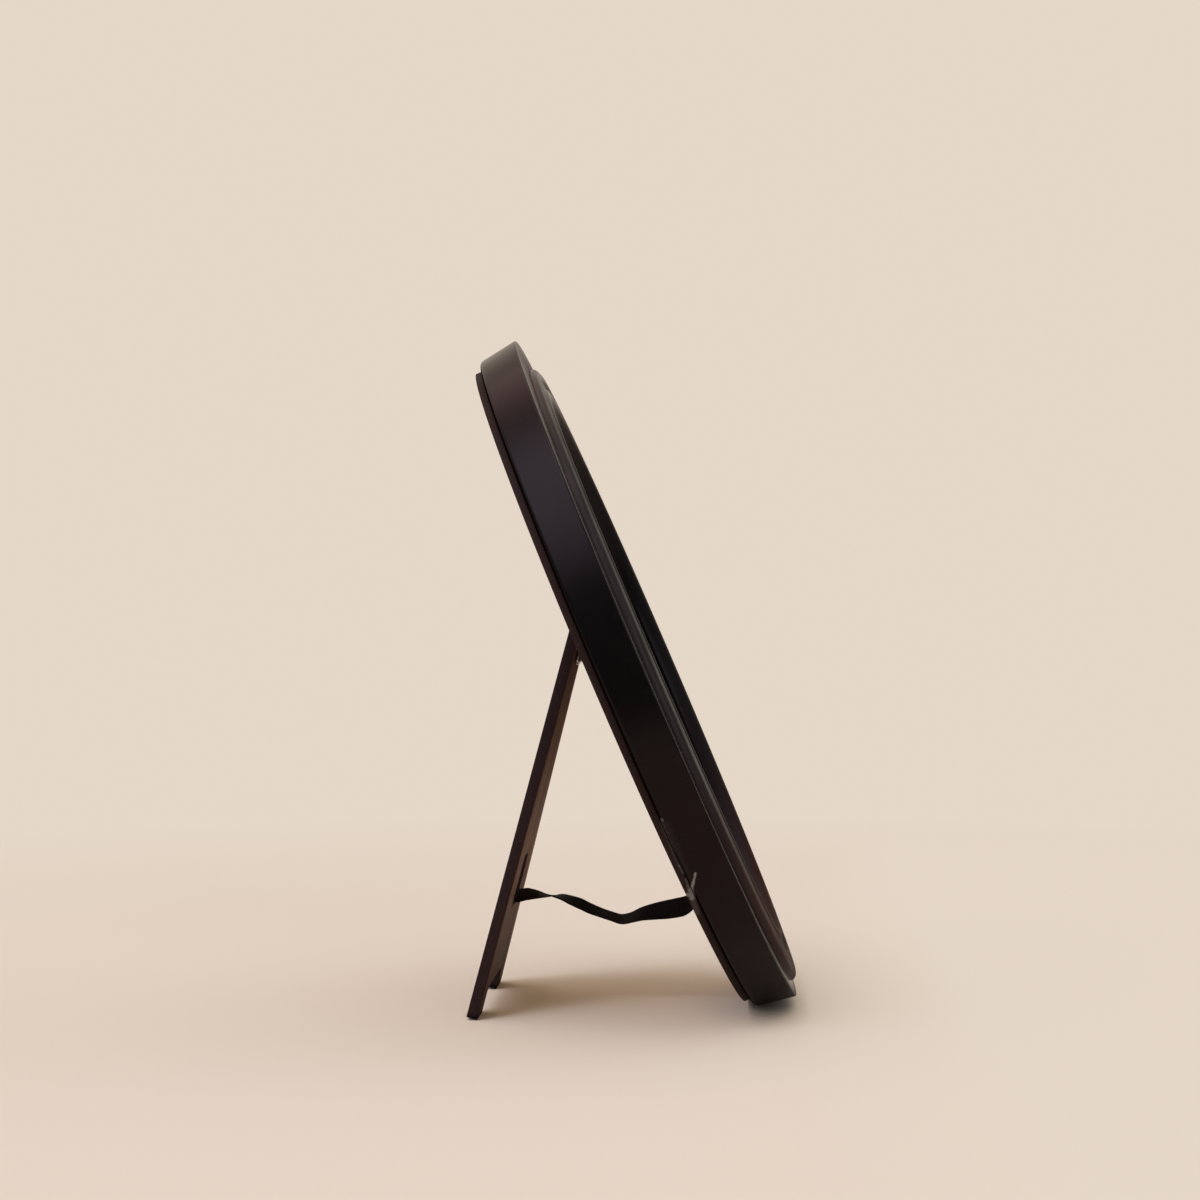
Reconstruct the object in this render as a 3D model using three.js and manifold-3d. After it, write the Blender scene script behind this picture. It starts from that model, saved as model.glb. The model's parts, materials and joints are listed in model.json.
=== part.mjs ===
// Oval picture frame that stands on a hinged easel leg.
// Millimetres, +Z up. X is the width, the front faces -Y, and the origin lies on the table
// under the middle of the frame and its leg. The leg is open, as the frame stands in use.

import * as THREE from 'three';
import { mergeVertices } from 'three/addons/utils/BufferGeometryUtils.js';
import Module from 'manifold-3d';

const wasm = await Module();
wasm.setup();

const radians = THREE.MathUtils.degToRad;

// Clearances
const SEAT_GAP = 0.3; // between pieces that rest on each other
const RUNNING_GAP = 0.3; // between pieces that turn on each other
const HOLE_GAP = 0.3; // round a fastener in its hole
const OVERCUT = 1; // a cutting tool, past the face that it opens

// How it stands
const LEAN = radians(23.1); // the frame, back from upright
const OPENING = radians(37.65); // the leg, away from the back board

// Oval moulding: an outer ellipse and one section all the way round, but for the ledge's width
const LENGTH = 212;
const WIDTH = 160;
const DEPTH = 12.4; // front outer edge to back face
const LEDGE_WIDTH = 7.1; // outer ledge of the face, halfway up the sides
const LEDGE_SHIFT = 2.5; // wider than that at the top, narrower at the bottom
const EDGE_ROUND = 0.5; // front outer edge
const BEAD_RADIUS = 2.1; // outer bead, beside the ledge
const BEAD_HEIGHT = 2.4;
const RIDGE_INSET = 12.3; // inner edge of the outer bead
const RIDGE_RADIUS = 1.2;
const RIDGE_HEIGHT = 2.75;
const CREST_SPACING = 6; // from the ridge to the inner bead
const CREST_RADIUS = 2.1; // inner bead, the highest line of the face
const CREST_HEIGHT = 3;
const SIGHT_SLOPE = 1.8; // width of the slope from the inner bead to the sight edge
const SIGHT_SET_BACK = 0.8; // sight edge, behind the front outer edge
const LIP_THICKNESS = 2.6; // wall in front of the glass
const LIP_OVERLAP = 5.5; // wall over the glass edge
const SIDE_TAPER = 1.75; // side wall, drawn in towards the back
const BACK_ROUND = 1.5; // back outer edge
const STATIONS = 96; // sections round the oval

// Stack behind the sight edge
const EDGE_PLAY = 0.5; // round the glass, insert and pad in the rebate
const GLASS_THICKNESS = 2;
const INSERT_THICKNESS = 0.6;

// Back board, laid on the moulding's back face
const BOARD_THICKNESS = 2;
const BOARD_INSET = 4.3; // board edge, inside the front outline
const SCREW_MARGIN = 4.3; // screw line, inside the board's edge
const SCREW_ANGLES = [36, 90, 144, 216, 270, 324]; // from the top
const SCREW_HEAD_RADIUS = 2.2;
const SCREW_SHANK_RADIUS = 1;
const SCREW_LENGTH = 8;
const SCREW_CONE = 1.2; // depth of the countersunk head

// Hinge: two leaves on one pin
const AXIS_HEIGHT = 14.3; // pin, above the middle of the oval
const HINGE_WIDTH = 14;
const LEAF_THICKNESS = 0.7;
const LEAF_CORNER = 1.5;
const KNUCKLE_RADIUS = 1.6;
const MIDDLE_KNUCKLE = 4.8;
const PIN_RADIUS = 0.7;
const PIN_OVERHANG = 0.4; // past each outer knuckle
const BOARD_RIVET_DROP = 8.6; // rivets, below the pin
const LEG_RIVET_DROP = 4.2; // higher than the board's, so that the heads pass
const RIVET_MARGIN = 2.4; // rivet, inside the leaf's edges
const RIVET_RADIUS = 0.9;
const RIVET_HEAD_RADIUS = 1.8;
const RIVET_HEAD_HEIGHT = 0.6;

// Easel leg
const LEG_THICKNESS = 3.2; // hardboard
const LEG_TOP_WIDTH = 34;
const LEG_FOOT_WIDTH = 68;
const FOOT_CORNER = 1;
const PRONG_WIDTH = 14;
const ARCH_HEIGHT = 7.5;
const ARCH_CORNER = 3;
const SLOT_DROP = 73.6; // middle of the ribbon slot, below the pin
const SLOT_LENGTH = 16;
const SLOT_WIDTH = 14;
const SLOT_CORNER = 3;

// Ribbon between the board and the leg
const RIBBON_WIDTH = 6;
const RIBBON_THICKNESS = 0.4;
const RIBBON_STEPS = 64;
const RIBBON_DROP = 69; // board end, below the middle of the oval
const TAB_LENGTH = 9; // flat end under each staple
const STAPLE_WIRE = 0.6;
const STAPLE_PLAY = 0.6; // beside the ribbon's edges
const STAPLE_BITE = 1.5; // into the board
const STAPLE_MARGIN = 3; // staple, inside the ribbon's end
const FOLD = 1.4; // ribbon's turn off the board and the leg
const SLOT_PLAY = 0.6; // ribbon, above the slot's lower end

// Finishes
const lacquer = new THREE.MeshStandardMaterial({ color: 0x151212, roughness: 0.38, metalness: 0 });
const glass = new THREE.MeshStandardMaterial({
  color: 0xdfe6e4, roughness: 0.03, metalness: 0, transparent: true, opacity: 0.25,
});
const blackCard = new THREE.MeshStandardMaterial({ color: 0x17171a, roughness: 0.85, metalness: 0 });
const brownCard = new THREE.MeshStandardMaterial({ color: 0x8b7355, roughness: 0.9, metalness: 0 });
const hardboard = new THREE.MeshStandardMaterial({ color: 0x463229, roughness: 0.7, metalness: 0 });
const steel = new THREE.MeshStandardMaterial({ color: 0xb9b6b0, roughness: 0.35, metalness: 1 });
const satin = new THREE.MeshStandardMaterial({ color: 0x121214, roughness: 0.6, metalness: 0 });

// Joining and cutting
function solid(geometry) {
  const bare = geometry.clone();
  bare.deleteAttribute('normal');
  bare.deleteAttribute('uv');
  const merged = mergeVertices(bare);
  return new wasm.Manifold(new wasm.Mesh({
    numProp: 3,
    vertProperties: new Float32Array(merged.attributes.position.array),
    triVerts: new Uint32Array(merged.index.array),
  }));
}

function geometryOf(manifold) {
  const { vertProperties, triVerts } = manifold.getMesh();
  const geometry = new THREE.BufferGeometry();
  geometry.setAttribute('position', new THREE.BufferAttribute(vertProperties, 3));
  geometry.setIndex(new THREE.BufferAttribute(triVerts, 1));
  return geometry;
}

function cut(geometry, tools) {
  return geometryOf(tools.reduce((body, tool) => body.subtract(solid(tool)), solid(geometry)));
}

function join(geometries) {
  return geometryOf(geometries.map(solid).reduce((body, other) => body.add(other)));
}

// Shapes that several pieces share
function arc(x, y, radius, startDegrees, endDegrees, steps) {
  return Array.from({ length: steps + 1 }, (_, step) => {
    const angle = radians(startDegrees + ((endDegrees - startDegrees) * step) / steps);
    return [x + radius * Math.cos(angle), y + radius * Math.sin(angle)];
  });
}

// A point of the oval: `angle` from the top, `inset` square to the outer ellipse.
function ovalPoint(angle, inset) {
  const [across, along] = [WIDTH / 2, LENGTH / 2];
  const normal = new THREE.Vector2(along * Math.sin(angle), across * Math.cos(angle)).normalize();
  return new THREE.Vector2(across * Math.sin(angle), along * Math.cos(angle)).addScaledVector(normal, -inset);
}

// A flat piece: its outline lies in X and Z, and it runs back from `front`.
function plate(shape, thickness, front) {
  const geometry = new THREE.ExtrudeGeometry(shape, { depth: thickness, bevelEnabled: false });
  return geometry.rotateX(Math.PI / 2).translate(0, front + thickness, 0);
}

function ovalPlate(inset, thickness, front) {
  const outline = Array.from({ length: STATIONS }, (_, k) => ovalPoint((2 * Math.PI * k) / STATIONS, inset));
  return plate(new THREE.Shape(outline.reverse()), thickness, front);
}

// A tool or pin along Y, from `front` to `back`.
function rod(radius, front, back, x, z, sides = 12) {
  return new THREE.CylinderGeometry(radius, radius, back - front, sides).translate(x, (front + back) / 2, z);
}

function box(x0, x1, y0, y1, z0, z1) {
  const geometry = new THREE.BoxGeometry(x1 - x0, y1 - y0, z1 - z0);
  return geometry.translate((x0 + x1) / 2, (y0 + y1) / 2, (z0 + z1) / 2);
}

function roundedRectangle(width, low, high, corner) {
  const half = width / 2;
  const points = [
    ...arc(half - corner, low + corner, corner, -90, 0, 3),
    ...arc(half - corner, high - corner, corner, 0, 90, 3),
    ...arc(-half + corner, high - corner, corner, 90, 180, 3),
    ...arc(-half + corner, low + corner, corner, 180, 270, 3),
  ];
  return new THREE.Shape(points.map(([x, z]) => new THREE.Vector2(x, z)));
}

function piece(name, geometry, material) {
  const mesh = new THREE.Mesh(geometry, material);
  mesh.name = name;
  return mesh;
}

// Places that follow from the sizes above, in the frame's own axes: Y runs back from the ledge
const RIDGE_END = 340; // the outer bead's end on its ridge round, in degrees
const [QUIRK_ANGLE, SLOPE_ANGLE] = [205, 330]; // where the inner bead starts and ends
const CREST_INSET = RIDGE_INSET + CREST_SPACING;
const FACE_WIDTH = CREST_INSET + CREST_RADIUS * Math.cos(radians(SLOPE_ANGLE)) + SIGHT_SLOPE;
const LIP_BACK = SIGHT_SET_BACK + LIP_THICKNESS;
const REBATE_INSET = FACE_WIDTH - LIP_OVERLAP;
const STACK_INSET = REBATE_INSET + EDGE_PLAY;
const GLASS_FRONT = LIP_BACK + SEAT_GAP;
const INSERT_FRONT = GLASS_FRONT + GLASS_THICKNESS + SEAT_GAP;
const PAD_FRONT = INSERT_FRONT + INSERT_THICKNESS + SEAT_GAP;
const PAD_THICKNESS = DEPTH - PAD_FRONT;
const BOARD_FRONT = DEPTH + SEAT_GAP;
const BOARD_BACK = BOARD_FRONT + BOARD_THICKNESS;
const PIN_OFFSET = SEAT_GAP + KNUCKLE_RADIUS; // pin to the board, and pin to the leg's inner face
const LEG_OUTER = PIN_OFFSET + LEG_THICKNESS;
const SCREW_INSET = BOARD_INSET + SCREW_MARGIN;
const HALF_HINGE = HINGE_WIDTH / 2;
const RIVET_X = HALF_HINGE - RIVET_MARGIN;
const SLOT_SIDE = SLOT_WIDTH / 2; // where the ribbon's end on the leg begins
const STAPLE_X = TAB_LENGTH - STAPLE_MARGIN;
const STAPLE_CROWN = RIBBON_WIDTH + 2 * (STAPLE_PLAY + STAPLE_WIRE);

// The moulding's section at `angle` from the top: [inset from the outer edge, distance behind the
// front outer edge]
function mouldingSection(angle) {
  const ledge = LEDGE_WIDTH + LEDGE_SHIFT * Math.cos(angle);
  const wallTop = DEPTH - BACK_ROUND;
  const wallInset = (SIDE_TAPER * wallTop) / DEPTH;
  return [
    ...arc(EDGE_ROUND, EDGE_ROUND, EDGE_ROUND, 180, 270, 2),
    ...arc(ledge + BEAD_RADIUS, BEAD_RADIUS - BEAD_HEIGHT, BEAD_RADIUS, 180, 270, 4),
    ...arc(RIDGE_INSET, RIDGE_RADIUS - RIDGE_HEIGHT, RIDGE_RADIUS, 270, RIDGE_END, 3),
    ...arc(CREST_INSET, CREST_RADIUS - CREST_HEIGHT, CREST_RADIUS, QUIRK_ANGLE, SLOPE_ANGLE, 6),
    [FACE_WIDTH, SIGHT_SET_BACK],
    [FACE_WIDTH, LIP_BACK],
    [REBATE_INSET, LIP_BACK],
    [REBATE_INSET, DEPTH],
    ...arc(wallInset + BACK_ROUND, wallTop, BACK_ROUND, 90, 180, 3),
  ];
}

// The section swept round the oval, one ring of points per station.
function ovalMoulding() {
  const positions = [];
  const triangles = [];
  for (let station = 0; station < STATIONS; station += 1) {
    const angle = (2 * Math.PI * station) / STATIONS;
    const next = (station + 1) % STATIONS;
    const section = mouldingSection(angle);
    const count = section.length;
    section.forEach(([inset, back], k) => {
      const point = ovalPoint(angle, inset);
      positions.push(point.x, back, point.y);
      const [a, b] = [station * count + k, station * count + ((k + 1) % count)];
      const [c, d] = [next * count + k, next * count + ((k + 1) % count)];
      triangles.push(a, b, c, b, d, c);
    });
  }
  const geometry = new THREE.BufferGeometry();
  geometry.setAttribute('position', new THREE.Float32BufferAttribute(positions, 3));
  geometry.setIndex(triangles);
  const pilots = SCREW_ANGLES.map((degrees) => {
    const place = ovalPoint(radians(degrees), SCREW_INSET);
    const depth = BOARD_BACK - SCREW_LENGTH - HOLE_GAP;
    return rod(SCREW_SHANK_RADIUS + HOLE_GAP, depth, DEPTH + OVERCUT, place.x, place.y, 6);
  });
  return cut(geometry, pilots);
}

// Countersunk wood screw, its head level with the board's back.
function backScrew(degrees) {
  const place = ovalPoint(radians(degrees), SCREW_INSET);
  const profile = [
    [0, -SCREW_LENGTH], [SCREW_SHANK_RADIUS, -SCREW_LENGTH + SCREW_SHANK_RADIUS],
    [SCREW_SHANK_RADIUS, -SCREW_CONE], [SCREW_HEAD_RADIUS, 0], [0, 0],
  ];
  const geometry = new THREE.LatheGeometry(profile.map(([r, y]) => new THREE.Vector2(r, y)), 10);
  return geometry.translate(place.x, BOARD_BACK, place.y);
}

function screwSeat(degrees) {
  const place = ovalPoint(radians(degrees), SCREW_INSET);
  const shank = SCREW_SHANK_RADIUS + HOLE_GAP;
  const head = SCREW_HEAD_RADIUS + HOLE_GAP;
  const profile = [
    [0, -BOARD_THICKNESS - OVERCUT], [shank, -BOARD_THICKNESS - OVERCUT], [shank, -SCREW_CONE],
    [head, 0], [head, OVERCUT], [0, OVERCUT],
  ];
  const geometry = new THREE.LatheGeometry(profile.map(([r, y]) => new THREE.Vector2(r, y)), 10);
  return geometry.translate(place.x, BOARD_BACK, place.y);
}

// Holes for the two ends of a staple whose middle is at x and height z.
function stapleHoles(front, back, x, z) {
  const wide = STAPLE_WIRE / 2 + HOLE_GAP;
  return [-1, 1].map((end) => {
    const at = z + (end * (STAPLE_CROWN - STAPLE_WIRE)) / 2;
    return box(x - wide, x + wide, front, back, at - wide, at + wide);
  });
}

// Holes for a leaf's pair of rivets at height z.
function rivetHoles(front, back, z) {
  return [-1, 1].map((side) => rod(RIVET_RADIUS + HOLE_GAP, front, back, side * RIVET_X, z));
}

function backBoard() {
  const [front, back] = [BOARD_FRONT - OVERCUT, BOARD_BACK + OVERCUT];
  const board = ovalPlate(BOARD_INSET, BOARD_THICKNESS, BOARD_FRONT);
  return cut(board, [
    ...SCREW_ANGLES.map(screwSeat),
    ...rivetHoles(front, back, AXIS_HEIGHT - BOARD_RIVET_DROP),
    ...stapleHoles(front, back, STAPLE_X, -RIBBON_DROP),
  ]);
}

// A knuckle or the pin: a round bar along X.
function bar(radius, from, to, sides = 16) {
  const geometry = new THREE.CylinderGeometry(radius, radius, to - from, sides);
  return geometry.rotateZ(Math.PI / 2).translate((from + to) / 2, 0, 0);
}

// A leaf hangs below the pin, its plate `front` behind the pin's axis, with knuckles at `spans`.
// Beside the other leaf's knuckles, `gaps`, the plate is cut away.
function hingeLeaf(front, spans, gaps, rivetDrop) {
  const low = -rivetDrop - RIVET_MARGIN;
  const leaf = plate(roundedRectangle(HINGE_WIDTH, low, 0, LEAF_CORNER), LEAF_THICKNESS, front);
  const top = box(-HALF_HINGE, HALF_HINGE, front, front + LEAF_THICKNESS, -2 * LEAF_CORNER, 0);
  const clear = KNUCKLE_RADIUS + RUNNING_GAP;
  const tools = [
    ...gaps.map(([from, to]) => box(from, to, -clear, clear, -clear, clear)),
    bar(PIN_RADIUS + RUNNING_GAP, -HALF_HINGE - OVERCUT, HALF_HINGE + OVERCUT),
    ...rivetHoles(front - OVERCUT, front + LEAF_THICKNESS + OVERCUT, -rivetDrop),
  ];
  const knuckles = spans.map(([from, to]) => bar(KNUCKLE_RADIUS, from, to));
  return cut(join([leaf, top, ...knuckles]), tools);
}

function boardLeaf() {
  const inner = MIDDLE_KNUCKLE / 2 + RUNNING_GAP;
  const spans = [[-HALF_HINGE, -inner], [inner, HALF_HINGE]];
  return hingeLeaf(-KNUCKLE_RADIUS, spans, [[-inner, inner]], BOARD_RIVET_DROP);
}

function legLeaf() {
  const inner = MIDDLE_KNUCKLE / 2;
  const outer = HALF_HINGE + OVERCUT;
  const gaps = [[-outer, -inner], [inner, outer]];
  return hingeLeaf(KNUCKLE_RADIUS - LEAF_THICKNESS, [[-inner, inner]], gaps, LEG_RIVET_DROP);
}

function hingePin() {
  return bar(PIN_RADIUS, -HALF_HINGE - PIN_OVERHANG, HALF_HINGE + PIN_OVERHANG, 12);
}

// A rivet along Y: a domed head whose underside is at `seat`, and a shank to `end`. A rivet that
// shows at its far end has a flat clenched head there, past `end`.
function rivet(seat, end, x, z, clenched) {
  const side = Math.sign(end - seat);
  const rise = -side * RIVET_HEAD_HEIGHT;
  const dome = arc(0, 0, 1, 90, 0, 3).map(([r, y]) => [r * RIVET_HEAD_RADIUS, seat + y * rise]);
  const tail = clenched
    ? [[RIVET_RADIUS, end], [RIVET_HEAD_RADIUS, end], [RIVET_HEAD_RADIUS, end - rise], [0, end - rise]]
    : [[RIVET_RADIUS, end], [0, end]];
  const profile = [[0, dome[0][1]], ...dome.slice(1), [RIVET_RADIUS, seat], ...tail];
  const ordered = side > 0 ? profile : profile.reverse();
  const geometry = new THREE.LatheGeometry(ordered.map(([r, y]) => new THREE.Vector2(r, y)), 12);
  return geometry.translate(x, 0, z);
}

function boardRivet(side) {
  const seat = -KNUCKLE_RADIUS + LEAF_THICKNESS + SEAT_GAP / 2;
  const end = -PIN_OFFSET - BOARD_THICKNESS;
  return rivet(seat, end, side * RIVET_X, -BOARD_RIVET_DROP, false);
}

function legRivet(side) {
  const seat = KNUCKLE_RADIUS - LEAF_THICKNESS - SEAT_GAP / 2;
  const end = LEG_OUTER + SEAT_GAP / 2;
  return rivet(seat, end, side * RIVET_X, -LEG_RIVET_DROP, true);
}

// The leg is cut so that its inner foot edge meets the table where the moulding's back edge does.
function tableBelowMiddle() {
  const drop = ([inset, back]) => (LENGTH / 2 - inset) * Math.cos(LEAN) + back * Math.sin(LEAN);
  return Math.max(...mouldingSection(Math.PI).map(drop));
}

const TILT = OPENING - LEAN; // the leg, from upright
const AXIS_BACK = BOARD_BACK + PIN_OFFSET;
const AXIS_RISE = AXIS_HEIGHT * Math.cos(LEAN) - AXIS_BACK * Math.sin(LEAN); // pin, above the middle
const LEG_DROP = (tableBelowMiddle() + AXIS_RISE + PIN_OFFSET * Math.sin(TILT)) / Math.cos(TILT);
const LEG_RISE = PIN_OFFSET / Math.tan(OPENING / 2) - SEAT_GAP / Math.sin(OPENING); // leg's top, its stop

// Tapered hardboard leg with an arched foot, a slot for the ribbon and two rivet holes.
function easelLeg() {
  const foot = LEG_FOOT_WIDTH / 2;
  const arch = foot - PRONG_WIDTH;
  const crown = ARCH_HEIGHT - LEG_DROP;
  const outline = [
    [LEG_TOP_WIDTH / 2, LEG_RISE], [-LEG_TOP_WIDTH / 2, LEG_RISE],
    ...arc(-foot + FOOT_CORNER, FOOT_CORNER - LEG_DROP, FOOT_CORNER, 180, 270, 2),
    [-arch, -LEG_DROP],
    ...arc(-arch + ARCH_CORNER, crown - ARCH_CORNER, ARCH_CORNER, 180, 90, 4),
    ...arc(arch - ARCH_CORNER, crown - ARCH_CORNER, ARCH_CORNER, 90, 0, 4),
    [arch, -LEG_DROP],
    ...arc(foot - FOOT_CORNER, FOOT_CORNER - LEG_DROP, FOOT_CORNER, 270, 360, 2),
  ];
  const shape = new THREE.Shape(outline.map(([x, z]) => new THREE.Vector2(x, z)));
  const low = -SLOT_DROP - SLOT_LENGTH / 2;
  const slot = roundedRectangle(SLOT_WIDTH, low, low + SLOT_LENGTH, SLOT_CORNER);
  const [front, back] = [PIN_OFFSET - OVERCUT, LEG_OUTER + OVERCUT];
  return cut(plate(shape, LEG_THICKNESS, PIN_OFFSET), [
    plate(slot, back - front, front),
    ...rivetHoles(front, back, -LEG_RIVET_DROP),
    ...stapleHoles(front, back, SLOT_SIDE + STAPLE_X, RIBBON_IN_SLOT),
  ]);
}

// Ribbon: a flat strip that is stapled to the board, hangs slack with a half twist, goes through
// the lower end of the leg's slot and is stapled behind it.
const RIBBON_IN_SLOT = SLOT_PLAY + (RIBBON_WIDTH - SLOT_LENGTH) / 2 - SLOT_DROP; // from the pin
const TAB_BACK = BOARD_BACK + SEAT_GAP + RIBBON_THICKNESS / 2;
const TAB_OUTER = LEG_OUTER + SEAT_GAP + RIBBON_THICKNESS / 2;

const POINTS_ON_LEG = 6; // the last points of the route, which go with the leg

// A place on the leg, in the frame's axes.
function onLeg(x, back, z) {
  const point = new THREE.Vector3(x, back, z).applyAxisAngle(new THREE.Vector3(1, 0, 0), OPENING);
  return point.add(new THREE.Vector3(0, AXIS_BACK, AXIS_HEIGHT));
}

// Route points: place, and the turn of the ribbon's width away from upright, in degrees.
function ribbonRoute() {
  const board = (x, back, turn) => [new THREE.Vector3(x, TAB_BACK + back, -RIBBON_DROP), turn];
  const free = (y, z, turn) => [new THREE.Vector3(0, y, z), turn];
  const leg = (x, back, turn) => [onLeg(x, back, RIBBON_IN_SLOT), turn];
  return [
    board(TAB_LENGTH, 0, 0), board(TAB_LENGTH / 2, 0, 0), board(FOLD, 0, 0), board(0, FOLD, 4),
    free(22.0, -69.0, 20), free(25.6, -68.2, 32), free(29.4, -67.2, 46), free(33.3, -66.4, 58),
    free(36.5, -66.2, 68), free(39.5, -65.6, 70), free(41.9, -63.7, 72), free(44.3, -61.6, 72),
    free(47.1, -58.9, 68), free(49.3, -56.4, 67), free(51.6, -54.2, 73), free(53.5, -52.4, 82),
    free(55.2, -51.4, 92), free(57.7, -50.0, 106), free(60.1, -48.6, 118), free(62.5, -47.5, 126),
    leg(0, PIN_OFFSET - FOLD / 2, 132), leg(FOLD, PIN_OFFSET + LEG_THICKNESS / 2, 150),
    leg(SLOT_SIDE / 2, TAB_OUTER - FOLD / 2, 172), leg(SLOT_SIDE, TAB_OUTER, 180),
    leg(SLOT_SIDE + TAB_LENGTH / 2, TAB_OUTER, 180), leg(SLOT_SIDE + TAB_LENGTH, TAB_OUTER, 180),
  ];
}

function ribbon() {
  const route = ribbonRoute();
  const reached = route.length - POINTS_ON_LEG;
  const curve = new THREE.CatmullRomCurve3(route.map(([place]) => place), false, 'centripetal');
  const positions = [];
  const triangles = [];
  const xAxis = new THREE.Vector3(1, 0, 0);
  for (let step = 0; step <= RIBBON_STEPS; step += 1) {
    const along = step / RIBBON_STEPS;
    const station = along * (route.length - 1);
    const before = Math.min(Math.floor(station), route.length - 2);
    const turn = radians(THREE.MathUtils.lerp(route[before][1], route[before + 1][1], station - before));
    const tangent = curve.getTangent(along);
    const lean = OPENING * Math.min(1, station / reached);
    const across = new THREE.Vector3(Math.sin(turn), 0, Math.cos(turn)).applyAxisAngle(xAxis, lean);
    across.addScaledVector(tangent, -across.dot(tangent)).normalize();
    const face = new THREE.Vector3().crossVectors(tangent, across);
    [[-1, -1], [1, -1], [1, 1], [-1, 1]].forEach(([side, skin]) => {
      const corner = curve.getPoint(along).addScaledVector(across, (side * RIBBON_WIDTH) / 2);
      positions.push(...corner.addScaledVector(face, (skin * RIBBON_THICKNESS) / 2));
    });
  }
  for (let step = 0; step < RIBBON_STEPS; step += 1) {
    for (let k = 0; k < 4; k += 1) {
      const [a, b] = [4 * step + k, 4 * step + ((k + 1) % 4)];
      triangles.push(a, b, a + 4, b, b + 4, a + 4);
    }
  }
  const last = 4 * RIBBON_STEPS;
  triangles.push(0, 2, 1, 0, 3, 2, last, last + 1, last + 2, last, last + 2, last + 3);
  const geometry = new THREE.BufferGeometry();
  geometry.setAttribute('position', new THREE.Float32BufferAttribute(positions, 3));
  geometry.setIndex(triangles);
  return geometry;
}

// A wire staple over the ribbon's flat end, driven into the face at `surface`, its middle at x and z.
function staple(surface, x, z) {
  const under = surface + SEAT_GAP + RIBBON_THICKNESS + SEAT_GAP;
  const tip = surface - STAPLE_BITE;
  const outer = STAPLE_CROWN / 2;
  const inner = outer - STAPLE_WIRE;
  const outline = [
    [-outer, tip], [-inner, tip], [-inner, under], [inner, under], [inner, tip], [outer, tip],
    [outer, under + STAPLE_WIRE], [-outer, under + STAPLE_WIRE],
  ];
  const shape = new THREE.Shape(outline.map(([along, back]) => new THREE.Vector2(back, along)));
  const geometry = new THREE.ExtrudeGeometry(shape, { depth: STAPLE_WIRE, bevelEnabled: false });
  const turn = new THREE.Matrix4().makeBasis(
    new THREE.Vector3(0, 1, 0), new THREE.Vector3(0, 0, 1), new THREE.Vector3(1, 0, 0),
  );
  return geometry.applyMatrix4(turn).translate(x - STAPLE_WIRE / 2, 0, z);
}

// Assembly: the leg turns inside the leaning frame
const frame = new THREE.Group();
frame.rotation.x = -LEAN;
const hinge = new THREE.Group();
hinge.position.set(0, AXIS_BACK, AXIS_HEIGHT);
const leg = new THREE.Group();
leg.rotation.x = OPENING;
hinge.add(leg);
frame.add(hinge);

frame.add(piece('oval_moulding', ovalMoulding(), lacquer));
frame.add(piece('glass_pane', ovalPlate(STACK_INSET, GLASS_THICKNESS, GLASS_FRONT), glass));
frame.add(piece('picture_insert', ovalPlate(STACK_INSET, INSERT_THICKNESS, INSERT_FRONT), blackCard));
frame.add(piece('filler_pad', ovalPlate(STACK_INSET, PAD_THICKNESS, PAD_FRONT), brownCard));
frame.add(piece('back_board', backBoard(), hardboard));
SCREW_ANGLES.forEach((degrees, k) => frame.add(piece(`back_screw_${k + 1}`, backScrew(degrees), steel)));

hinge.add(piece('hinge_board_leaf', boardLeaf(), steel));
hinge.add(piece('hinge_pin', hingePin(), steel));
hinge.add(piece('board_rivet_left', boardRivet(-1), steel), piece('board_rivet_right', boardRivet(1), steel));
leg.add(piece('hinge_leg_leaf', legLeaf(), steel));
leg.add(piece('leg_rivet_left', legRivet(-1), steel), piece('leg_rivet_right', legRivet(1), steel));
leg.add(piece('easel_leg', easelLeg(), hardboard));

frame.add(piece('ribbon_staple_board', staple(BOARD_BACK, STAPLE_X, -RIBBON_DROP), steel));
leg.add(piece('ribbon_staple_leg', staple(LEG_OUTER, SLOT_SIDE + STAPLE_X, RIBBON_IN_SLOT), steel));

// The origin lies on the table, under the middle of the frame and the leg without the ribbon.
const part = new THREE.Group();
part.add(frame);
part.updateMatrixWorld(true);
const extent = new THREE.Box3().setFromObject(part, true);
const centre = extent.getCenter(new THREE.Vector3());
frame.position.set(-centre.x, -centre.y, -extent.min.z);
frame.add(piece('ribbon', ribbon(), satin));
part.updateMatrixWorld(true);

export default part;
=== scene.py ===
import json
import math

import bmesh
import bpy
from mathutils import Euler, Matrix, Vector
from mathutils.geometry import interpolate_bezier


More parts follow.
